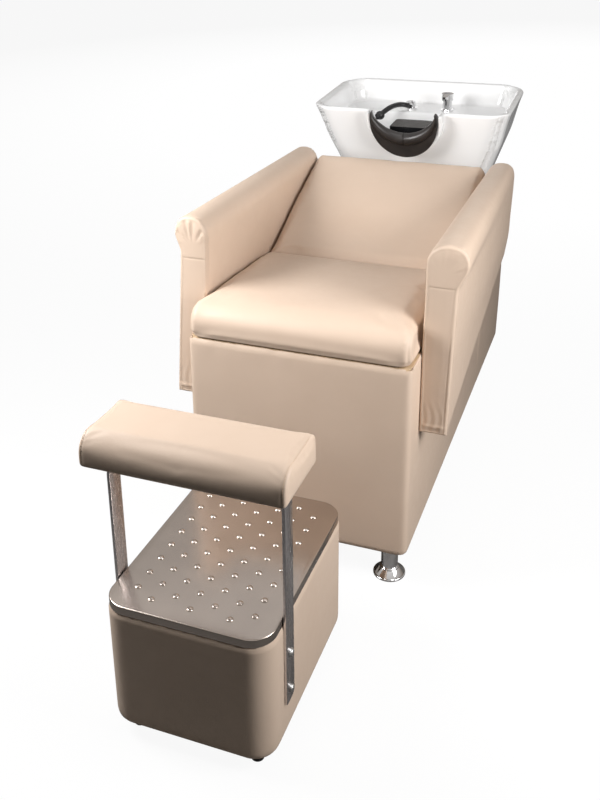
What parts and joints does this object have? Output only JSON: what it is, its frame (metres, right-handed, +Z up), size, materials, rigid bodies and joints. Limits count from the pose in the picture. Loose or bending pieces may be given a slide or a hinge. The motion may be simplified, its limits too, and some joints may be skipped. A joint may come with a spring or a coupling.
{
  "type": "hair washing bed",
  "caption": "Reclined upholstered hair washing bed with rolled arms, tilting ceramic basin, neck rest, tap, hand shower and a free-standing foot unit with calf rest.",
  "frame": {"origin": "on the floor, in the middle of the whole bed's bounding box in plan", "axes": "+Z up, +Y from the foot unit towards the basin, +X to the sitter's left"},
  "size_m": [0.676, 1.8754, 0.9145],
  "materials": {
    "leather": "satin grained",
    "board": "raw board",
    "stainless": "brushed",
    "strap_steel": "satin",
    "chrome": "polished",
    "zinc": "zinc plated",
    "rubber": "satin",
    "black_plastic": "gloss",
    "glazed_ceramic": "glazed"
  },
  "bodies": {
    "chair": {"base_front_panel": "board", "base_rear_panel": "board", "base_floor_board": "board", "base_centre_rail": "board", "seat_deck": "board", "cabinet_top": "board", "headboard": "board", "front_cover": "leather", "rear_cover": "leather", "headboard_cover": "leather", "seat_board": "board", "seat_cushion": "leather", "back_board": "board", "back_cushion": "leather", "arm_bolts": "zinc", "basin_stand": "strap_steel", "pivot_pins": "zinc", "tilt_knob": "black_plastic", "left_base_side_panel": "board", "right_base_side_panel": "board", "left_side_cover": "leather", "right_side_cover": "leather", "left_arm_board": "board", "right_arm_board": "board", "left_arm_pad": "leather", "right_arm_pad": "leather", "left_arm_facing": "leather", "right_arm_facing": "leather", "leg_tubes": "chrome", "leg_flanges": "chrome", "leg_plates": "chrome", "leg_screws": "zinc"},
    "foot_unit": {"foot_carcass": "board", "foot_base_board": "board", "foot_cover": "leather", "rubber_feet": "rubber", "step_plate": "stainless", "calf_bracket": "strap_steel", "bracket_bolts": "zinc", "calf_board": "board", "calf_cushion": "leather", "calf_screws": "zinc"},
    "basin": {"basin_bowl": "glazed_ceramic", "tap_body": "chrome", "clamp_nuts": "zinc", "shower_dock": "chrome", "drain_flange": "chrome", "waste_trap": "black_plastic", "basin_cradle": "strap_steel"},
    "mixer_head": {"tap_head": "chrome"},
    "mixer_lever": {"tap_lever": "chrome"},
    "hand_shower": {"shower_elbow": "chrome", "shower_handle": "black_plastic", "shower_head": "black_plastic"},
    "hair_strainer": {"strainer": "chrome"},
    "neck_rest": {"neck_cushion": "rubber", "neck_carrier": "black_plastic"}
  },
  "joints": [
    {"name": "foot_unit_shift", "type": "slide", "parent": "chair", "child": "foot_unit", "axis": [0, 1, 0], "range_m": [-0.25, 0.1]},
    {"name": "basin_tilt", "type": "hinge", "parent": "chair", "child": "basin", "pos_m": [0, 0.76402, 0.63377], "axis": [1, 0, 0], "range_deg": [-8, 10]},
    {"name": "tap_swivel", "type": "hinge", "parent": "basin", "child": "mixer_head", "pos_m": [0.064, 0.82697, 0.87424], "axis": [0, -0.0758, 0.9971], "range_deg": [-45, 45]},
    {"name": "tap_lift", "type": "hinge", "parent": "mixer_head", "child": "mixer_lever", "pos_m": [0.064, 0.82577, 0.88999], "axis": [-1, 0, 0], "range_deg": [0, 25]},
    {"name": "hand_shower_lift", "type": "slide", "parent": "basin", "child": "hand_shower", "axis": [0, -0.0758, 0.9971], "range_m": [0, 0.12]},
    {"name": "strainer_lift", "type": "slide", "parent": "basin", "child": "hair_strainer", "axis": [0, -0.0758, 0.9971], "range_m": [0, 0.06]},
    {"name": "neck_rest_lift", "type": "slide", "parent": "basin", "child": "neck_rest", "axis": [0, -0.3082, 0.9513], "range_m": [0, 0.12]}
  ]
}
